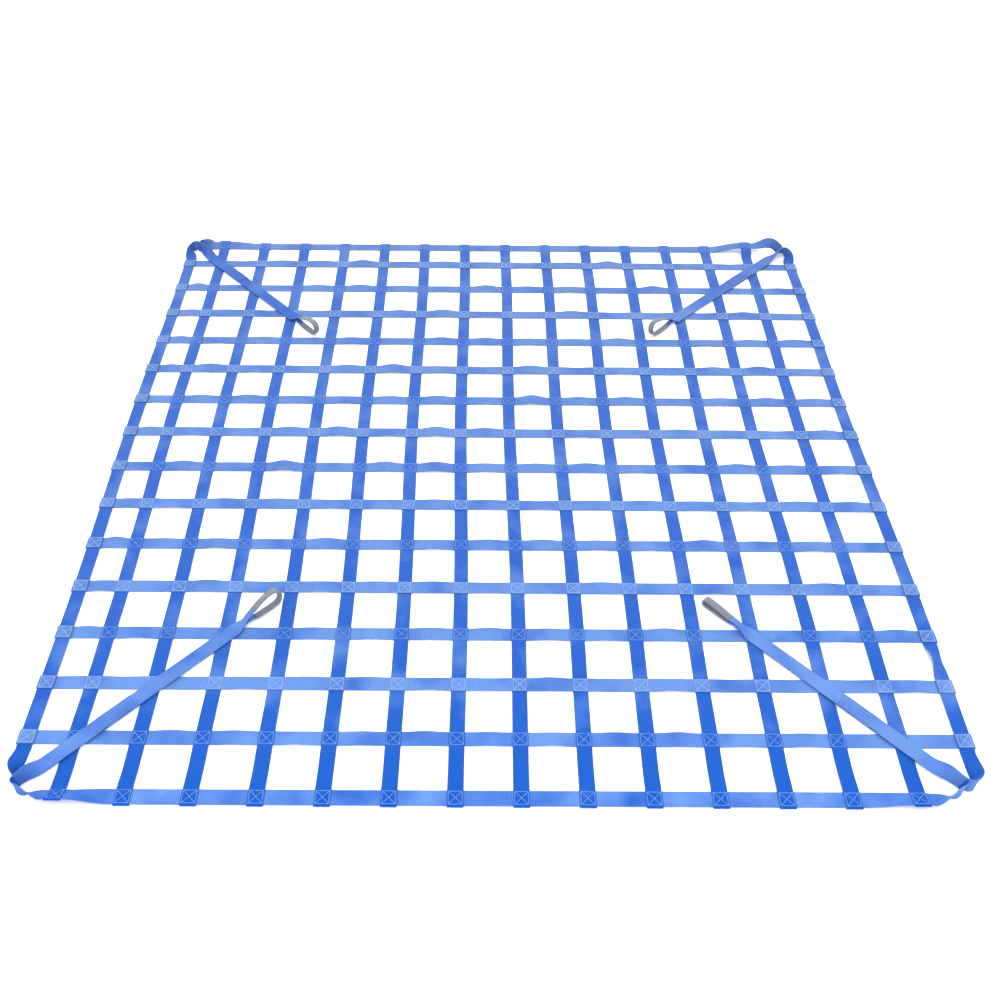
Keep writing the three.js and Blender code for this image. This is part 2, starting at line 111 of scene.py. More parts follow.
# Buckles of the crosswise straps that stand out, by row and gap from the front and the left: their rise
# at the middle of the gap, and the degrees that the strap is turned there, its face to the front
RAISED = {
    (7, 4): (0.013, 2),
    (7, 7): (0.011, 0),
    (8, 5): (0.010, 4),
    (8, 7): (0.012, 3),
    (9, 9): (0.011, 4),
    (10, 2): (0.002, 11),
    (10, 6): (0.011, 5),
    (10, 14): (0.005, 10),
    (12, 7): (0.010, 3),
    (14, 5): (0.008, 5),
    (14, 11): (0.013, 2),
}

# Crossings on the front and back borders that don't lie flat, by row and column: their lift, and the
# degrees that the border strap is turned up there, its face to the net's middle
LIFTED = {
    (0, 1): (0.0, 30),
    (0, 14): (0.0, 18),
    (15, 1): (0.0, 14),
    (15, 14): (0.024, 0),
}
LEVEL_SEAT = (0.0, 0.0)  # lift and roll of a crossing that lies flat

# Where a side border leans over outwards between two rows: its column and gap, and the degrees
LEANING = dict(column=15, gap=3, roll=32)

# Room that a strap leaves beside the one that it crosses, inside a fold, before a border strap turns up,
# and above the crossings or the floor
CROSSING_CLEARANCE = 0.001
FOLD_CLEARANCE = 0.0008
TURN_CLEARANCE = 0.014
SLING_CLEARANCE = 0.0018
FLOOR_CLEARANCE = 0.0008

# Sizes that follow from those above
HALF_WEB = WEB_WIDTH / 2
HALF_THICK = WEB_THICKNESS / 2
LAYER_STEP = WEB_THICKNESS + LAYER_GAP
BORDER_LINE = NET_SIZE / 2 - HALF_WEB
CROSSING_REACH = HALF_WEB + CROSSING_CLEARANCE
FOLD_TURN = HALF_WEB + FOLD_CLEARANCE
TURN_START = CROSSING_REACH + TURN_CLEARANCE
PLY_OFFSET = LAYER_STEP / 2
LAP_OFFSET = PLY_OFFSET + LAYER_STEP
EYE_THICKNESS = 2 * WEB_THICKNESS
EYE_PLY = EYE_THICKNESS / 2 + LAYER_GAP / 2
SLEEVE_SIDE = LAYER_GAP + SLEEVE_WALL
SLEEVE_REACH = EYE_THICKNESS / 2 + SLEEVE_SIDE
REST_HEIGHT = 2 * LAYER_STEP + SLING_CLEARANCE

# Shares of a border strap's swing between which it takes on the sling's tilt, and between which a
# lifted one comes down
MEETS_FROM = 0.5
MEETS_BY = 0.88
COMES_DOWN = (0.25, 0.8)

# Spacing of the sections along a strap, or their number
RUN_STEP = 0.012
TURN_STEP = 0.006
CUT_STEP = 0.0015
FOLD_STEPS = 10
SWING_STEPS = 36
CROWN_STEPS = 22
SAME_PLACE = 0.001  # two sections closer than this are one

UP = np.array([0.0, 0.0, 1.0])
LAST = round(NET_SIZE / MESH_PITCH)
STRAP_LINES = np.append(np.arange(LAST) * MESH_PITCH - BORDER_LINE, BORDER_LINE)
ROW_Y = STRAP_LINES
COLUMN_X = -STRAP_LINES[::-1]

# Half of a strap's section, as shares of its half width and half thickness. The selvedge is a little
# thicker than the middle.
WEB_PROFILE = [(-1.0, 0.0), (-0.988, 0.72), (-0.955, 1.0), (-0.85, 0.93), (0.0, 0.90),
               (0.85, 0.93), (0.955, 1.0), (0.988, 0.72), (1.0, 0.0)]
SLEEVE_PROFILE = [(-1.0, 0.0), (-0.97, 0.62), (-0.88, 0.95), (-0.5, 1.0), (0.0, 1.0),
                  (0.5, 1.0), (0.88, 0.95), (0.97, 0.62), (1.0, 0.0)]


def layer_z(layer):
    return HALF_THICK + layer * LAYER_STEP


def sway(y):
    return SWAY * np.cos(2 * np.pi * (y - SWAY_CREST) / SWAY_LENGTH)


def smooth(start, end, at):
    share = np.clip((np.asarray(at, float) - start) / (end - start), 0, 1)
    return share * share * (3 - 2 * share)


def unit(vectors):
    return vectors / np.linalg.norm(vectors, axis=-1, keepdims=True)


def crosswise_is_over(row):
    return row % 2 == 0


def spaced(start, end, step):
    return np.linspace(start, end, max(2, round(abs(end - start) / step) + 1))


def eased(knots, values, at):
    """Values that change smoothly from knot to knot and are level at each."""
    k = np.clip(np.searchsorted(knots, at, side="right") - 1, 0, len(knots) - 2)
    share = smooth(0, 1, (at - knots[k]) / (knots[k + 1] - knots[k]))
    return values[k] + (values[k + 1] - values[k]) * share


class Run:
    """A stretch of strap: its middle line, the way its face looks, its width and its thickness.

    axis is the line that it runs along, or zero where that follows from its neighbours.
    """

    def __init__(self, points, up, width=WEB_WIDTH, thickness=WEB_THICKNESS, axis=0.0):
        self.points = np.asarray(points, float)
        count = len(self.points)
        self.up = np.broadcast_to(up, (count, 3)).astype(float)
        self.width = np.broadcast_to(width, count).astype(float)
        self.thickness = np.broadcast_to(thickness, count).astype(float)
        self.axis = np.broadcast_to(axis, (count, 3)).astype(float)

    def reversed(self):
        return Run(self.points[::-1], self.up[::-1], self.width[::-1],
                   self.thickness[::-1], self.axis[::-1])

    def __add__(self, other):
        """Joins two stretches, and drops the place that they share."""
        first = 1 if np.linalg.norm(self.points[-1] - other.points[0]) < SAME_PLACE else 0
        return Run(
            np.concatenate([self.points, other.points[first:]]),
            np.concatenate([self.up, other.up[first:]]),
            np.concatenate([self.width, other.width[first:]]),
            np.concatenate([self.thickness, other.thickness[first:]]),
            np.concatenate([self.axis, other.axis[first:]]),
        )

    def wider(self, extra):
        return Run(self.points, self.up, self.width + extra, self.thickness + extra, self.axis)

    def along(self):
        course = unit(np.gradient(self.points, axis=0))
        forward = np.sign(np.sum(self.axis * course, axis=1, keepdims=True))
        return np.where(forward == 0, course, forward * self.axis)

    def lengths(self):
        steps = np.linalg.norm(np.diff(self.points, axis=0), axis=1)
        return np.concatenate([[0], np.cumsum(steps)])

    def sections(self, profile):
        """Closed rings of points round the strap, and how far across the strap each one is."""
        half = np.array(profile)
        under = half[-2:0:-1] * [1, -1]
        ring = np.concatenate([half, under])
        across = unit(np.cross(self.up, self.along()))
        aside = ring[:, 0] * self.width[:, None] / 2
        above = ring[:, 1] * self.thickness[:, None] / 2
        points = (self.points[:, None] + aside[..., None] * across[:, None]
                  + above[..., None] * self.up[:, None])
        return points, aside


# Shapes of the straps

def sling_frame(corner, distance):
    """How a sling lies at distances from its apex: on edge there, then flat, then its eye on its side."""
    distance = np.atleast_1d(np.asarray(distance, float))
    throat = corner["length"] - EYE_LENGTH
    aim = math.radians(corner["aim"])
    inward = np.array([-corner["sign_x"] * math.cos(aim), -corner["sign_y"] * math.sin(aim), 0])
    front = np.array([inward[1], -inward[0], 0])
    front *= -np.sign(front[1])
    tilt = np.radians(
        corner["apex_tilt"] * (1 - smooth(0, corner["flat_at"], distance))
        - corner["eye_turn"] * smooth(throat - EYE_TURNS, throat + EYE_SETTLES, distance))
    up = np.cos(tilt)[:, None] * UP + np.sin(tilt)[:, None] * front

    in_eye = smooth(throat - corner["narrows"], throat, distance)
    width = WEB_WIDTH + (EYE_WIDTH - WEB_WIDTH) * in_eye
    thickness = WEB_THICKNESS + (EYE_THICKNESS - WEB_THICKNESS) * in_eye
    crown = corner["length"] - corner["eye_radius"] - SLEEVE_REACH
    opened = np.clip((distance - throat) / (crown - throat), 0, 1)
    closed_ply = PLY_OFFSET + (EYE_PLY - PLY_OFFSET) * in_eye
    ply = closed_ply + (corner["eye_radius"] - closed_ply) * np.sin(np.pi / 2 * opened)

    on_crossings = smooth(0, SLING_CLIMBS, distance) - smooth(
        throat + EYE_SINKS_FROM, throat + EYE_SINKS_TO, distance)
    lowest = FLOOR_CLEARANCE + (REST_HEIGHT - FLOOR_CLEARANCE) * on_crossings
    reach = ply + HALF_THICK + (SLEEVE_REACH - HALF_THICK) * in_eye
    half_width = width / 2 + in_eye * SLEEVE_SIDE
    height = lowest + half_width * np.abs(np.sin(tilt)) + reach * np.cos(tilt)
    apex = np.array([corner["sign_x"] * corner["apex_x"], corner["sign_y"] * corner["apex_y"], 0])
    point = apex + distance[:, None] * inward
    point[:, 2] = height
    return dict(point=point, up=up, inward=inward, front=front, width=width, thickness=thickness,
                ply=ply, crown=crown, throat=throat)


def is_pressed(x, y):
    """Whether a place is so close to a sling that the strap there is pressed flat."""
    for corner in CORNERS.values():
        lie = sling_frame(corner, 0)
        offset = np.array([x, y, 0]) - lie["point"][0] * [1, 1, 0]
        along = offset @ lie["inward"]
        aside = offset @ lie["front"]
        if 0 < along < corner["length"] and abs(aside) < PRESS_REACH:
            return True
    return False


def seat_of(row, column):
    """How a crossing on the front or back border sits: its lift, and its roll in radians."""
    lift, roll = LIFTED.get((row, column), LEVEL_SEAT)
    return lift, math.radians(roll)


def seated(border, outward, seat):
    """A border strap's middle at a crossing, the way its face looks and the way out of the net."""
    lift, roll = seat
    middle = border * [1, 1, 0] + (layer_z(1) + lift + CROSSING_REACH * math.sin(roll)) * UP
    face = math.cos(roll) * UP - math.sin(roll) * outward
    out = math.cos(roll) * outward + math.sin(roll) * UP
    return middle, face, out


def folded_end(border, outward, from_layer, seat=LEVEL_SEAT):
    """An end folded round a border strap, from the strap's own layer to its cut end."""
    fold_up = 1 if from_layer == 0 else -1
    middle, face, out = seated(border, outward, seat)
    turn = np.linspace(0, np.pi, FOLD_STEPS + 1)
    offsets = np.concatenate([[-CROSSING_REACH], FOLD_TURN + LAYER_STEP * np.sin(turn), [-HALF_WEB]])
    bend = np.concatenate([[0], turn, [np.pi]])
    heights = -fold_up * LAYER_STEP * np.cos(bend)
    points = middle + offsets[:, None] * out + heights[:, None] * face
    up = np.cos(bend)[:, None] * face - fold_up * np.sin(bend)[:, None] * out
    return Run(points, up)


def buckle(row, gap, x, y):
    """Height and roll of a crosswise strap in the middle of a gap."""
    roll = RIPPLE_ROLL * math.sin(ROLL_STEPS["row"] * row + ROLL_STEPS["gap"] * gap)
    rise = RIPPLE_RISE * (0.5 + 0.5 * math.sin(RISE_STEPS["row"] * row + RISE_STEPS["gap"] * gap))
    if (row, gap) in RAISED:
        rise, degrees = RAISED[row, gap]
        roll = math.radians(degrees)
    if is_pressed(x, y):
        roll, rise = 0, 0
    return HALF_THICK + rise + HALF_WEB * abs(math.sin(roll)), roll


def crosswise_strap(row):
    """From left to right, its ends folded over the side borders. It buckles between the crossings."""
    y = ROW_Y[row]
    places = COLUMN_X + sway(y)
    level = layer_z(1 if crosswise_is_over(row) else 0)
    knots = [(places[0] + CROSSING_REACH, layer_z(0), 0)]
    for gap in range(1, LAST + 1):
        middle = (places[gap - 1] + places[gap]) / 2
        knots.append((middle, *buckle(row, gap, middle, y)))
        if gap < LAST:
            knots.append((places[gap] - CROSSING_REACH, level, 0))
            knots.append((places[gap] + CROSSING_REACH, level, 0))
    knots.append((places[LAST] - CROSSING_REACH, layer_z(0), 0))
    at, heights, rolls = np.array(knots).T

    x = spaced(at[0], at[-1], RUN_STEP)
    roll = eased(at, rolls, x)
    points = np.column_stack([x, np.full_like(x, y), eased(at, heights, x)])
    up = np.column_stack([np.zeros_like(x), -np.sin(roll), np.cos(roll)])
    left = folded_end(np.array([places[0], y, 0]), np.array([-1, 0, 0]), 0)
    right = folded_end(np.array([places[LAST], y, 0]), np.array([1, 0, 0]), 0)
    return left.reversed() + Run(points, up) + right


def lengthwise_strap(column):
    """From front to back, its ends folded under the front and back borders."""
    ends = []
    for row, way in ((0, -1), (LAST, 1)):
        border = np.array([COLUMN_X[column] + sway(ROW_Y[row]), ROW_Y[row], 0])
        ends.append(folded_end(border, np.array([0, way, 0]), 2, seat_of(row, column)))
    knots = [ends[0].points[0, 1:], ((ROW_Y[0] + ROW_Y[1]) / 2, layer_z(0))]
    for row in range(1, LAST):
        level = layer_z(0 if crosswise_is_over(row) else 1)
        knots.append((ROW_Y[row] - CROSSING_REACH, level))
        knots.append((ROW_Y[row] + CROSSING_REACH, level))
    knots.append(((ROW_Y[LAST - 1] + ROW_Y[LAST]) / 2, layer_z(0)))
    knots.append(ends[1].points[0, 1:])
    at, heights = np.array(knots).T

    y = spaced(at[0], at[-1], RUN_STEP)
    points = np.column_stack([COLUMN_X[column] + sway(y), y, eased(at, heights, y)])
    slope = np.gradient(points[:, 2], y)
    up = unit(np.column_stack([np.zeros_like(y), -slope, np.ones_like(y)]))
    return ends[0].reversed() + Run(points, up) + ends[1]


def bezier(points, share):
    a, b, c, d = points
    share = share[:, None]
    rest = 1 - share
    place = a * rest**3 + 3 * b * rest**2 * share + 3 * c * rest * share**2 + d * share**3
    course = 3 * (b - a) * rest**2 + 6 * (c - b) * rest * share + 3 * (d - c) * share**2
    return place, unit(course)


def border_end(corner, start, outward, aside, swing, seat):
    """A border strap's end: it turns up on edge, swings round to the apex and lies along the sling."""
    apex = sling_frame(corner, 0)
    turn_side = np.sign(np.cross(outward, apex["inward"])[2])
    to_front = np.cross(UP, apex["inward"]) @ apex["front"] * turn_side
    ply = np.sign(to_front * corner["apex_tilt"])
    meeting = apex["point"][0] + ply * PLY_OFFSET * apex["up"][0]
    on_other = (1 + ply) * PLY_OFFSET * apex["up"][0, 2]
    meeting[2] = 0
    share = np.linspace(0, 1, SWING_STEPS, endpoint=False)
    place, course = bezier((
        start,
        start + swing["reach"] * outward + swing["flare"] * aside,
        meeting - swing["bulge"] * apex["inward"],
        meeting,
    ), share)
    course[:, 2] = 0
    inner = np.cross(UP, unit(course)) * turn_side
    mid_tilt = math.radians(swing["tilt"])
    last_tilt = math.acos(ply * math.cos(math.radians(corner["apex_tilt"])))
    lift, roll = seat
    meets = smooth(MEETS_FROM, swing.get("meets_by", MEETS_BY), share)
    tilt = roll + (mid_tilt - roll) * smooth(0, swing["turned"], share) + (last_tilt - mid_tilt) * meets
    place[:, 2] = (HALF_THICK * np.abs(np.cos(tilt)) + HALF_WEB * np.sin(tilt)
                   + FLOOR_CLEARANCE * smooth(swing["turned"], 1, share)
                   + on_other * meets
                   + lift * (1 - smooth(*COMES_DOWN, share)))
    turned = Run(place, np.cos(tilt)[:, None] * UP + np.sin(tilt)[:, None] * inner)

    lap_start = corner["tail"] - LAP_LENGTH
    cut_start = corner["tail"] - CUT_LENGTH
    distance = np.concatenate([
        spaced(0, corner["flat_at"], TURN_STEP),
        spaced(corner["flat_at"], cut_start, RUN_STEP)[1:],
        spaced(cut_start, corner["tail"], CUT_STEP)[1:],
    ])
    lie = sling_frame(corner, distance)
    opens = smooth(lap_start - LAP_OPENS, lap_start - LAYER_STEP, distance)
    pressed = CUT_PRESSED * WEB_THICKNESS * smooth(cut_start, corner["tail"], distance)
    offset = ply * (PLY_OFFSET + (LAP_OFFSET - PLY_OFFSET) * opens - pressed / 2)
    tail = Run(lie["point"] + offset[:, None] * lie["up"], ply * lie["up"],
               thickness=WEB_THICKNESS - pressed, axis=lie["inward"])
    return turned + tail


def border_strap(lines, at, outward, way_out, corners, swing_name, seats, leans):
    """A border strap past the crossings at lines.

    at gives its middle line, outward is the way that it runs, way_out the way out of the net, corners
    its two ends, seats how each crossing sits and leans the places between them where it leans over.
    """
    inner = lines[1:-1]
    knots = list(leans)
    for line, (lift, roll) in zip(inner, seats):
        height = layer_z(1) + lift + CROSSING_REACH * math.sin(roll)
        knots += [(line - CROSSING_REACH, height, roll), (line + CROSSING_REACH, height, roll)]
    for line, (lift, roll), way in ((inner[0], seats[0], -1), (inner[-1], seats[-1], 1)):
        height = HALF_THICK * math.cos(roll) + HALF_WEB * math.sin(roll) + lift
        knots.append((line + way * TURN_START, height, roll))
    places, heights, rolls = np.array(sorted(knots)).T
    run_at = spaced(places[0], places[-1], RUN_STEP)
    points = at(run_at)
    points[:, 2] = eased(places, heights, run_at)
    roll = eased(places, rolls, run_at)
    run = Run(points, np.cos(roll)[:, None] * UP - np.sin(roll)[:, None] * way_out)
    ends = []
    for name, way, start, seat in zip(corners, (-1, 1), (points[0], points[-1]), (seats[0], seats[-1])):
        corner = CORNERS[name]
        ends.append(border_end(corner, start, way * outward, way_out, corner[swing_name], seat))
    return ends[0].reversed() + run + ends[1]


def side_border(column, side):
    def at(y):
        return np.column_stack([COLUMN_X[column] + sway(y), y, np.zeros_like(y)])

    leans = []
    if column == LEANING["column"]:
        gap, roll = LEANING["gap"], math.radians(LEANING["roll"])
        leans.append(((ROW_Y[gap - 1] + ROW_Y[gap]) / 2, HALF_THICK + HALF_WEB * math.sin(roll), -roll))
    corners = (f"front_{side}", f"back_{side}")
    way_out = np.array([CORNERS[corners[0]]["sign_x"], 0, 0])
    seats = [LEVEL_SEAT] * (LAST - 1)
    return border_strap(ROW_Y, at, np.array([0, 1, 0]), way_out, corners, "side", seats, leans)


def end_border(row, end):
    def at(x):
        return np.column_stack([x + sway(ROW_Y[row]), np.full_like(x, ROW_Y[row]), np.zeros_like(x)])

    corners = (f"{end}_left", f"{end}_right")
    way_out = np.array([0, CORNERS[corners[0]]["sign_y"], 0])
    seats = [seat_of(row, column) for column in range(1, LAST)]
    return border_strap(COLUMN_X, at, np.array([1, 0, 0]), way_out, corners, "end", seats, [])


def eye_loop(corner, distance):
    """A sling from the given distances along its upper ply, round its crown and back on the lower one."""
    lie = sling_frame(corner, distance)
    plies = []
    for side in (1, -1):
        points = lie["point"] + side * lie["ply"][:, None] * lie["up"]
        plies.append(Run(points, side * lie["up"], lie["width"], lie["thickness"], lie["inward"]))
    top = sling_frame(corner, lie["crown"])
    turn = np.linspace(0, np.pi, CROWN_STEPS + 1)
    outward = np.cos(turn)[:, None] * top["up"] + np.sin(turn)[:, None] * top["inward"]
    crown = Run(top["point"] + corner["eye_radius"] * outward, outward, top["width"], top["thickness"])
    return plies[0] + crown + plies[1].reversed()


def sling(corner):
    lie = sling_frame(corner, 0)
    turn_start = lie["throat"] - max(corner["narrows"], EYE_TURNS)
    distance = np.concatenate([
        spaced(corner["tail"] - LAP_LENGTH, turn_start, RUN_STEP),
        spaced(turn_start, lie["crown"], TURN_STEP)[1:],
    ])
    return eye_loop(corner, distance)


def sleeve_run(corner):
    lie = sling_frame(corner, 0)
    return eye_loop(corner, spaced(lie["throat"] + SLEEVE_START, lie["crown"], TURN_STEP))


# Meshes

CREASE_SIDE = np.array([0.0, -1.0, 1.0])  # up and to the front

# A strap's painted sheen, from 0, deep blue, to 1, pale blue. The webbing is one blue: the pale tone
# paints the sheen of its yarns where a strap runs crosswise, and the deep tone is where there is little
# of it.
PAINTED_SHEEN_RANGE = (0.04, 0.84)  # where it runs lengthwise and where it runs crosswise
# The front border has less painted sheen than the other crosswise straps
FRONT_BORDER_SHEEN = 0.62  # on the front border, deeper than on the other crosswise straps
# Painted shade: a lengthwise strap has less painted sheen at its front end, so it is deeper there
FRONT_SHEEN_LOSS = 0.45  # how much deeper a strap that runs lengthwise is at its front end
SLANT_POWER = 4  # how closely a strap has to follow a sling's line to take on the sling's tone


def painted_sheen_of(run, tone):
    """How much painted sheen each place on a strap has, by the way it runs: lengthwise, crosswise or on a
    sling's line.
    """
    along = np.abs(run.along())
    painted_sheen = PAINTED_SHEEN_RANGE[0] + (tone - PAINTED_SHEEN_RANGE[0]) * along[:, 0]
    first_gap, second_gap = (ROW_Y[:2] + ROW_Y[1:3]) / 2
    # Painted shade: less painted sheen on lengthwise straps near the front border
    painted_sheen -= FRONT_SHEEN_LOSS * along[:, 1] * (1 - smooth(first_gap, second_gap, run.points[:, 1]))
    slanting = (2 * along[:, 0] * along[:, 1]) ** SLANT_POWER
    for corner in CORNERS.values():
        outwards = run.points[:, :2] * [corner["sign_x"], corner["sign_y"]]
        share = slanting * (outwards > 0).all(axis=1)
        painted_sheen += share * (corner["tone"] - painted_sheen)
    return painted_sheen


def new_piece(name, points, faces, coords=None, painted_sheen=None):
    """A mesh, smooth but for its cut ends.

    coords: metres along and across the strap. lay: its painted sheen, from 0, deep, to 1, pale.
    """
    mesh = bpy.data.meshes.new(name)
    mesh.from_pydata(points, [], faces)
    mesh.polygons.foreach_set("use_smooth", np.array([len(face) <= 4 for face in faces]))
    if coords is not None:
        corners = np.empty(len(mesh.loops), np.int32)
        mesh.loops.foreach_get("vertex_index", corners)
        mesh.uv_layers.new(name="strap").data.foreach_set("uv", coords[corners].ravel())
    if painted_sheen is not None:
        mesh.attributes.new("painted_sheen", "FLOAT", "POINT").data.foreach_set("value", painted_sheen)
    mesh.update()
    piece = bpy.data.objects.new(name, mesh)
    bpy.context.scene.collection.objects.link(piece)
    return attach(piece, "root")


def ring_faces(points, first=0, flip=False):
    """Faces between neighbouring closed rings of points, whose numbers start at first.

    A face is split from its first corner to its third. A twisted one has them on the diagonal that lies
    further towards CREASE_SIDE, so that layers that lie on each other crease alike.
    """
    rings, size = points.shape[:2]
    k = np.arange(size)
    i = np.arange(rings - 1)[:, None] * size
    quads = np.stack([i + k, i + (k + 1) % size, i + size + (k + 1) % size, i + size + k], axis=-1)
    quads = quads.reshape(-1, 4)
    side = (points.reshape(-1, 3) @ CREASE_SIDE)[quads]
    other = side[:, 0] + side[:, 2] < side[:, 1] + side[:, 3]
    quads[other] = np.roll(quads[other], 1, axis=1)
    return (first + (quads[:, [0, 3, 2, 1]] if flip else quads)).tolist()


def strap_piece(name, run, tone):
    points, aside = run.sections(WEB_PROFILE)
    rings, size = aside.shape
    faces = ring_faces(points)
    faces.append(list(range(size))[::-1])
    faces.append(list(range((rings - 1) * size, rings * size)))
    along = np.repeat(run.lengths(), size)
    coords = np.column_stack([along + random.random(), aside.ravel()])
    return new_piece(name, points.reshape(-1, 3), faces, coords, np.repeat(painted_sheen_of(run, tone), size))


def sleeve_piece(name, run):
    outside, aside = run.wider(2 * SLEEVE_SIDE).sections(SLEEVE_PROFILE)
    inside, inner_aside = run.wider(2 * LAYER_GAP).sections(WEB_PROFILE)
    rings, size = aside.shape
    shift = rings * size
    faces = ring_faces(outside) + ring_faces(inside, shift, flip=True)
    for first, flip in ((0, True), (shift - size, False)):
        for k in range(size):
            rim = [first + k, first + (k + 1) % size,
                   shift + first + (k + 1) % size, shift + first + k]
            faces.append(rim[::-1] if flip else rim)
    along = np.tile(np.repeat(run.lengths(), size), 2)
    coords = np.column_stack([along, np.concatenate([aside.ravel(), inner_aside.ravel()])])
    points = np.concatenate([outside.reshape(-1, 3), inside.reshape(-1, 3)])
    return new_piece(name, points, faces, coords)


# Sewing: each stitch is a small hipped bead of thread

STITCH_LENGTH = 0.0042
STITCH_GAP = 0.0004
THREAD_WIDTH = 0.0026
THREAD_HEIGHT = 0.0005
THREAD_CREST = 0.6  # share of a stitch's length that its crest has
THREAD_SEAT = 0.95 * HALF_THICK  # height of a stitch's foot above the strap's middle
SEWN_BOX = 0.0415  # side of the sewn square on a crossing
LAP_ROWS = 4
LAP_SIDE_MARGIN = 0.006
LAP_END_MARGIN = 0.008


def stitch_line(start, end):
    """Middles and directions of the stitches on a line from start to end, in the plane."""
    start, end = np.array(start, float), np.array(end, float)
    count = max(1, round(np.linalg.norm(end - start) / (STITCH_LENGTH + STITCH_GAP)))
    share = (np.arange(count) + 0.5) / count
    middles = start + share[:, None] * (end - start)
    return middles, np.broadcast_to(unit(end - start), middles.shape)


def stitch_pattern(lines):
    found = [stitch_line(*line) for line in lines]
    return np.concatenate([m for m, _ in found]), np.concatenate([d for _, d in found])


def box_with_cross(side):
    h = side / 2
    return stitch_pattern([
        ((-h, -h), (h, -h)), ((h, -h), (h, h)), ((h, h), (-h, h)), ((-h, h), (-h, -h)),
        ((-h, -h), (h, h)), ((-h, h), (h, -h)),
    ])


def thread_mesh(name, middles, directions, normals, painted_sheen):
    """All stitches of a sewing as one mesh. lay: 1 for those on a strap that runs crosswise, whose thread
    has painted sheen.
    """
    asides = np.cross(normals, directions)
    half = STITCH_LENGTH / 2 * directions
    flank = THREAD_WIDTH / 2 * asides
    crest = THREAD_HEIGHT * normals
    corners = np.stack([
        middles - half - flank, middles + half - flank, middles + half + flank, middles - half + flank,
        middles - THREAD_CREST * half + crest, middles + THREAD_CREST * half + crest,
    ], axis=1)
    shape = [(0, 1, 5, 4), (2, 3, 4, 5), (1, 2, 5), (3, 0, 4), (3, 2, 1, 0)]
    size = corners.shape[1]
    faces = [[size * k + v for v in face] for k in range(len(middles)) for face in shape]
    return new_piece(name, corners.reshape(-1, 3), faces, painted_sheen=np.repeat(painted_sheen, size))


def sew_crossings():
    """A sewn box with a cross on the top strap of each crossing. The corners have no crossing."""
    local, local_way = box_with_cross(SEWN_BOX)
    right = np.array([1.0, 0, 0])
    found = []
    for row in range(LAST + 1):
        for column in range(LAST + 1):
            at_end, at_side = row in (0, LAST), column in (0, LAST)
            if at_end and at_side:
                continue
            place = np.array([COLUMN_X[column] + sway(ROW_Y[row]), ROW_Y[row], 0])
            outward = np.array([0, 1.0 if row == LAST else -1.0, 0])
            seat = seat_of(row, column) if at_end else LEVEL_SEAT
            middle, face, out = seated(place, outward, seat)
            on_top = (LAYER_STEP if at_end or at_side else 0) + THREAD_SEAT
            middles = middle + on_top * face + local[:, :1] * right + local[:, 1:] * out
            ways = local_way[:, :1] * right + local_way[:, 1:] * out
            # Thread on a strap that runs crosswise takes the paler tones of painted sheen
            crosswise_on_top = not at_end and (at_side or crosswise_is_over(row))
            painted_sheen = np.full(len(middles), float(crosswise_on_top))
            found.append((middles, ways, np.broadcast_to(face, middles.shape), painted_sheen))
    return thread_mesh("crossing_stitching", *(np.concatenate(part) for part in zip(*found)))


def sew_laps():
    """Rows of stitches along each lap, where the sling is held between the two tails."""
    half = HALF_WEB - LAP_SIDE_MARGIN
    ends = (LAP_END_MARGIN, LAP_LENGTH - LAP_END_MARGIN)
    rows = [((ends[0], v), (ends[1], v)) for v in np.linspace(-half, half, LAP_ROWS)]
    rows += [((u, -half), (u, half)) for u in ends]
    local, local_way = stitch_pattern(rows)
    found = []
    for corner in CORNERS.values():
        lie = sling_frame(corner, corner["tail"] - LAP_LENGTH + local[:, 0])
        across = np.cross(lie["up"], lie["inward"])
        middles = lie["point"] + local[:, 1:] * across + (LAP_OFFSET + THREAD_SEAT) * lie["up"]
        ways = local_way[:, :1] * lie["inward"] + local_way[:, 1:] * across
        found.append((middles, ways, lie["up"], np.zeros(len(middles))))
    return thread_mesh("lap_stitching", *(np.concatenate(part) for part in zip(*found)))


# Materials

# Colours of the webbing near the front and far at the back, as painted sheen: towards the back the deep
# and pale tones come closer together.
DEEP_BLUE = ((0.000, 0.062, 0.350, 1), (0.030, 0.083, 0.315, 1))  # where it runs lengthwise
SHEEN_PALE_BLUE = ((0.092, 0.194, 0.490, 1), (0.082, 0.152, 0.342, 1))  # where it runs crosswise
WORN_BLUE = (0.130, 0.210, 0.435, 1)  # along its selvedges
GLOSS_BLUE = (0.350, 0.550, 1.000, 1)
# Thread in its hollows and on its crests: on a strap that runs lengthwise, on a lap and on a strap that
# runs crosswise, whose paler tones are painted sheen, as on the webbing there
DEEP_THREAD = ((0.050, 0.140, 0.420, 1), (0.100, 0.215, 0.500, 1))
LAP_THREAD = ((0.022, 0.085, 0.330, 1), (0.060, 0.135, 0.380, 1))
SHEEN_PALE_THREAD = ((0.125, 0.230, 0.450, 1), (0.210, 0.310, 0.530, 1))
SLEEVE_GREY = ((0.100, 0.108, 0.142, 1), (0.205, 0.218, 0.270, 1))
FLOOR_WHITE = ((0.900, 0.900, 0.900, 1), (0.940, 0.940, 0.940, 1))
RIB_PITCH = 0.0060
YARN_PITCH = 0.0024
YARN_RELIEF = 0.4  # height of the yarns as a share of the ribs'
WEAVE_RELIEF = 0.0005
SELVEDGE = 0.0025  # width of the worn edge
SELVEDGE_BLEND = 0.001
SELVEDGE_WEAR = 90.0  # how fast the wear grows to the edge, for each metre
# The painted sheen changes along each strap in slow random patches
PAINTED_SHEEN_PATCHES = 2.4  # how much a strap's look changes along it
PAINTED_SHEEN_PATCH_SCALE = 6.0
CLOUD_SCALE = 9.0
SLEEVE_PITCH = 0.0022
SLEEVE_RUB_SCALE = 60.0
THREAD_TWIST_SCALE = 700.0
THREAD_RELIEF = 0.0002
FLOOR_CLOUD_SCALE = 2.0
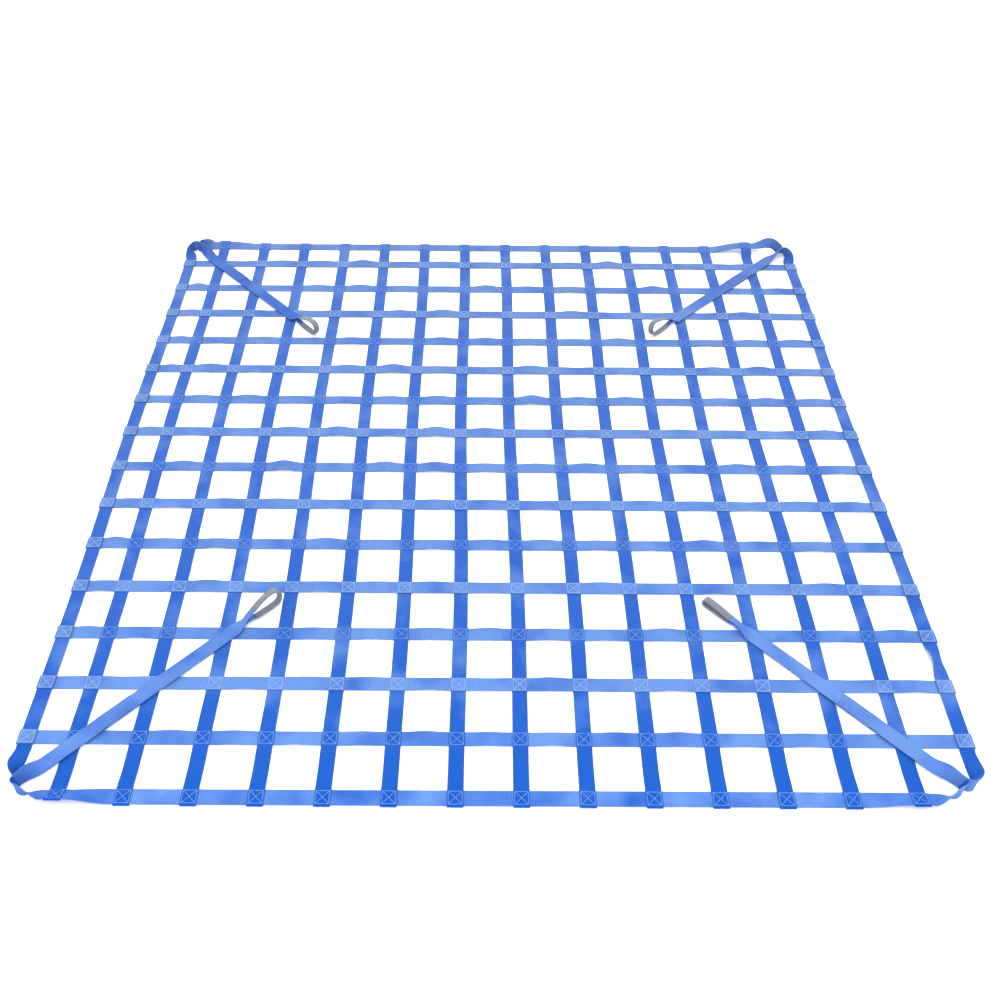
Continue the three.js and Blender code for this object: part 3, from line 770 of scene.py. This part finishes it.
# Factor and start of a value that follows a cloud or a weave
CLOUD_SHADE = (0.16, 0.84)
WEAVE_SHADE = (0.32, -0.20)
WEAVE_ROUGHNESS = (-0.12, 0.72)
SLEEVE_SHADE = (0.3, 0.8)


class Shader:
    """A material's node tree, with short ways to add to it."""

    # Sockets of a mix node that mixes colours
    MIX_SHARE, MIX_FIRST, MIX_SECOND = 0, 6, 7
    MIX_RESULT = 2

    def __init__(self, name):
        self.material = bpy.data.materials.new(name)
        self.material.use_nodes = True
        self.tree = self.material.node_tree
        self.surface = self.tree.nodes["Principled BSDF"]

    def node(self, kind, **values):
        node = self.tree.nodes.new(kind)
        for key, value in values.items():
            setattr(node, key, value)
        return node

    def link(self, source, socket):
        self.tree.links.new(source, socket)

    def math(self, operation, *inputs):
        node = self.node("ShaderNodeMath", operation=operation)
        for socket, value in zip(node.inputs, inputs):
            if isinstance(value, (int, float)):
                socket.default_value = value
            else:
                self.link(value, socket)
        return node.outputs[0]

    def mix(self, share, first, second, blend="MIX"):
        node = self.node("ShaderNodeMix", data_type="RGBA", blend_type=blend)
        for place, value in ((self.MIX_SHARE, share), (self.MIX_FIRST, first), (self.MIX_SECOND, second)):
            if isinstance(value, (int, float, tuple)):
                node.inputs[place].default_value = value
            else:
                self.link(value, node.inputs[place])
        return node.outputs[self.MIX_RESULT]

    def strap_coords(self):
        """Metres along and across the strap."""
        coords = self.node("ShaderNodeUVMap", uv_map="strap")
        parts = self.node("ShaderNodeSeparateXYZ")
        self.link(coords.outputs[0], parts.inputs[0])
        return parts.outputs[0], parts.outputs[1]

    def painted_sheen(self):
        """A strap's painted sheen, from 0, deep, to 1, pale."""
        return self.node("ShaderNodeAttribute", attribute_name="painted_sheen").outputs["Fac"]

    def sheen_fade_to_back(self):
        """0 at the front border to 1 at the back border, rising fastest near the front: the fade of the
        painted sheen.
        """
        place = self.node("ShaderNodeTexCoord")
        parts = self.node("ShaderNodeSeparateXYZ")
        self.link(place.outputs["Object"], parts.inputs[0])
        share = self.math("MULTIPLY_ADD", parts.outputs[1], 1 / NET_SIZE, 0.5)
        return self.math("SQRT", self.math("MAXIMUM", share, 0.0))

    def noise(self, scale, detail=2.0):
        place = self.node("ShaderNodeTexCoord")
        noise = self.node("ShaderNodeTexNoise")
        noise.inputs["Scale"].default_value = scale
        noise.inputs["Detail"].default_value = detail
        self.link(place.outputs["Object"], noise.inputs["Vector"])
        return noise.outputs["Fac"]

    def wave(self, coord, pitch):
        """0 to 1 and back over each pitch."""
        turn = self.math("MULTIPLY", coord, 2 * math.pi / pitch)
        return self.math("MULTIPLY_ADD", self.math("SINE", turn), 0.5, 0.5)

    def plain_weave(self, along, across):
        """0 to 1: yarns that pass over and under one another."""
        waves = [self.math("SINE", self.math("MULTIPLY", coord, 2 * math.pi / YARN_PITCH))
                 for coord in (along, across)]
        return self.math("MULTIPLY_ADD", self.math("MULTIPLY", *waves), 0.5, 0.5)

    def bump(self, height, relief):
        bump = self.node("ShaderNodeBump")
        bump.inputs["Strength"].default_value = 1.0
        bump.inputs["Distance"].default_value = relief
        self.link(height, bump.inputs["Height"])
        self.link(bump.outputs[0], self.surface.inputs["Normal"])

    def shaded(self, colour, shade):
        """Makes a colour, times a shade, the surface's own."""
        grey = self.node("ShaderNodeCombineColor")
        for socket in grey.inputs[:3]:
            self.link(shade, socket)
        self.link(self.mix(1.0, colour, grey.outputs[0], "MULTIPLY"), self.surface.inputs["Base Color"])

    def set(self, **values):
        for name, value in values.items():
            self.surface.inputs[name.replace("_", " ")].default_value = value


def webbing_material():
    """Woven webbing: raised ribs across it, the yarns of its weave, paler worn selvedges and painted
    sheen.
    """
    shader = Shader("blue_webbing")
    along, across = shader.strap_coords()
    ribs = shader.wave(along, RIB_PITCH)
    weave = shader.math("MULTIPLY_ADD", shader.plain_weave(along, across), YARN_RELIEF, ribs)

    # The painted sheen fades from its near tones to its far tones towards the back
    sheen_fade_to_back = shader.sheen_fade_to_back()
    # Painted sheen: deep blue where a strap runs lengthwise, pale blue where it runs crosswise, in slow
    # patches
    sheen_patches = shader.math("MULTIPLY_ADD", shader.noise(PAINTED_SHEEN_PATCH_SCALE), PAINTED_SHEEN_PATCHES, -PAINTED_SHEEN_PATCHES / 2)
    painted_sheen = shader.math("ADD", shader.painted_sheen(), sheen_patches)
    colour = shader.mix(painted_sheen, shader.mix(sheen_fade_to_back, *DEEP_BLUE), shader.mix(sheen_fade_to_back, *SHEEN_PALE_BLUE))
    past_edge = shader.math("SUBTRACT", shader.math("ABSOLUTE", across), HALF_WEB - SELVEDGE)
    on_edge = shader.math("SMOOTH_MAX", past_edge, 0.0, SELVEDGE_BLEND)
    colour = shader.mix(shader.math("MULTIPLY", on_edge, SELVEDGE_WEAR), colour, WORN_BLUE)
    clouds = shader.math("MULTIPLY_ADD", shader.noise(CLOUD_SCALE), *CLOUD_SHADE)
    shader.shaded(colour, shader.math("ADD", clouds, shader.math("MULTIPLY_ADD", weave, *WEAVE_SHADE)))
    rough = shader.math("MULTIPLY_ADD", weave, *WEAVE_ROUGHNESS)
    shader.link(rough, shader.surface.inputs["Roughness"])
    shader.set(Specular_IOR_Level=0.15, Specular_Tint=GLOSS_BLUE)
    shader.set(Sheen_Weight=0.10, Sheen_Roughness=0.4, Sheen_Tint=GLOSS_BLUE)
    shader.bump(weave, WEAVE_RELIEF)
    return shader.material


def thread_material(name, deep, pale):
    """Twisted thread, deeper on straps that run lengthwise and paler, with painted sheen, on those that
    run crosswise.
    """
    shader = Shader(name)
    twist = shader.noise(THREAD_TWIST_SCALE)
    colour = shader.mix(shader.painted_sheen(), shader.mix(twist, *deep), shader.mix(twist, *pale))
    shader.link(colour, shader.surface.inputs["Base Color"])
    shader.set(Roughness=0.6, Sheen_Weight=0.1)
    shader.bump(twist, THREAD_RELIEF)
    return shader.material


def sleeve_material():
    """Coarse grey weave, rubbed paler in places."""
    shader = Shader("grey_sleeve")
    along, across = shader.strap_coords()
    weave = shader.math("MULTIPLY", shader.wave(along, SLEEVE_PITCH), shader.wave(across, SLEEVE_PITCH))
    rubbed = shader.noise(SLEEVE_RUB_SCALE, detail=4.0)
    shader.shaded(shader.mix(rubbed, *SLEEVE_GREY), shader.math("MULTIPLY_ADD", weave, *SLEEVE_SHADE))
    shader.set(Roughness=0.8, Specular_IOR_Level=0.25, Sheen_Weight=0.15)
    shader.bump(weave, WEAVE_RELIEF)
    return shader.material


def floor_material():
    shader = Shader("pale_floor")
    white = shader.mix(shader.noise(FLOOR_CLOUD_SCALE), *FLOOR_WHITE)
    shader.link(white, shader.surface.inputs["Base Color"])
    shader.set(Roughness=0.9, Specular_IOR_Level=0.1)
    return shader.material


# The pieces

webbing = webbing_material()
sleeve_cloth = sleeve_material()


def place_strap(node, run, tone=PAINTED_SHEEN_RANGE[1]):
    """A strap in place of its solid."""
    piece = strap_piece(f"webbing_{node}", run, tone)
    piece.data.materials.append(webbing)
    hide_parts(node)
    float(run.lengths()[-1])


for k in range(1, LAST):
    place_strap(f"lengthwise_{k + 1:02d}", lengthwise_strap(k))
    place_strap(f"crosswise_{k + 1:02d}", crosswise_strap(k))
place_strap("border_left", side_border(0, "left"))
place_strap("border_right", side_border(LAST, "right"))
place_strap("border_front", end_border(0, "front"), FRONT_BORDER_SHEEN)
place_strap("border_back", end_border(LAST, "back"))

for name, corner in CORNERS.items():
    place_strap(f"sling_{name}", sling(corner))
    run = sleeve_run(corner)
    sleeve = sleeve_piece(f"wear_sleeve_{name}", run)
    sleeve.data.materials.append(sleeve_cloth)
    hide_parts(f"eye_sleeve_{name}")
    float(run.lengths()[-1])

sewings = (
    (sew_crossings(), thread_material("crossing_thread", DEEP_THREAD, SHEEN_PALE_THREAD)),
    (sew_laps(), thread_material("lap_thread", LAP_THREAD, LAP_THREAD)),
)
for sewing, thread in sewings:
    sewing.data.materials.append(thread)

# Floor, light and camera

FLOOR_SIZE = 40.0
FLOOR_DROP = 0.0005
SKY_STRENGTH = 2.0
SUN_STRENGTH = 0.9
SUN_SPREAD = math.radians(60)
SUN_TURN = (math.radians(-32), math.radians(-12), 0)
CAMERA_PLACE = (-0.091, -2.868, 2.827)
CAMERA_TURN = (math.radians(42.85), math.radians(-0.39), math.radians(0.10))

bpy.ops.mesh.primitive_plane_add(size=FLOOR_SIZE, location=(0, 0, -FLOOR_DROP))
floor = bpy.context.object
floor.name = "floor"
floor.data.materials.append(floor_material())

world = bpy.data.worlds.new("studio")
world.use_nodes = True
sky = world.node_tree.nodes["Background"]
sky.inputs["Color"].default_value = (1.0, 1.0, 1.0, 1)
sky.inputs["Strength"].default_value = SKY_STRENGTH
bpy.context.scene.world = world

sun = bpy.data.lights.new("soft_sun", "SUN")
sun.energy = SUN_STRENGTH
sun.angle = SUN_SPREAD
sun_object = bpy.data.objects.new("soft_sun", sun)
sun_object.rotation_euler = SUN_TURN
bpy.context.scene.collection.objects.link(sun_object)

camera = bpy.data.cameras.new("photo_camera")
camera.lens = 36.05
camera.sensor_width = 36.0
camera.shift_x = 0.0265
camera_object = bpy.data.objects.new("photo_camera", camera)
camera_object.location = CAMERA_PLACE
camera_object.rotation_euler = CAMERA_TURN
bpy.context.scene.collection.objects.link(camera_object)
bpy.context.scene.camera = camera_object
bpy.context.scene.view_settings.view_transform = "Standard"

bpy.context.view_layer.update()
